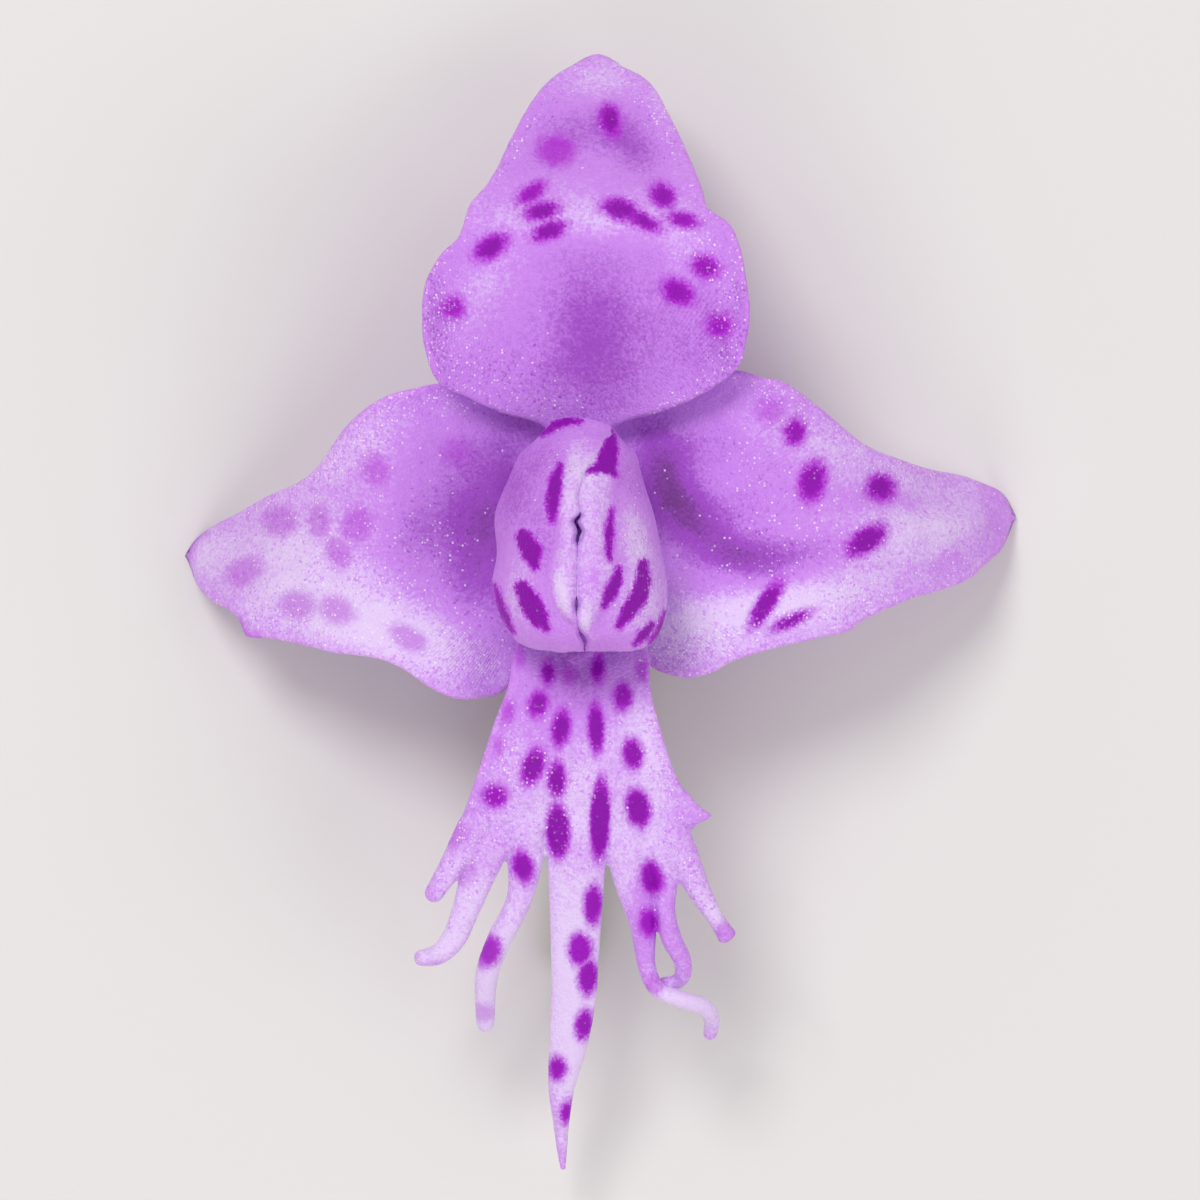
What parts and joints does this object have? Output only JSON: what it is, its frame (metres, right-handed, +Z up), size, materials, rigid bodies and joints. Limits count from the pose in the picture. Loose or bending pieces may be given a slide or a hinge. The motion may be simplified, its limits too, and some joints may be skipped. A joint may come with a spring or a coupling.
{
  "type": "stenoglottis longifolia flower",
  "caption": "Picked orchid flower lying face up: three spread sepals, petals closed to a slit hood over the column, a fringed spotted lip and a ribbed ovary.",
  "frame": {"origin": "on the floor, under the middle of the flower's outline", "axes": "+Z up out of the flower's face, +Y towards the tip of the upper sepal, -Y towards the tip of the lip, +X to the right of someone who looks at its face"},
  "size_m": [0.0166, 0.0222, 0.0073],
  "materials": {
    "lilac_tissue": "soft petal tissue, pale lilac with deep purple spots, finely sparkling with raised cells",
    "column_tissue": "smooth moist whitish lilac tissue",
    "pollen": "waxy pale yellow pollen grains on a clear stalk",
    "green_tissue": "smooth ribbed green stem tissue, washed with purple towards the flower"
  },
  "bodies": {
    "root": {"dorsal_sepal": "lilac_tissue", "lateral_sepal_left": "lilac_tissue", "lateral_sepal_right": "lilac_tissue", "petal_left": "lilac_tissue", "petal_right": "lilac_tissue", "lip": "lilac_tissue", "column": "column_tissue", "pollinarium_left": "pollen", "pollinarium_right": "pollen", "ovary": "green_tissue"}
  },
  "joints": []
}
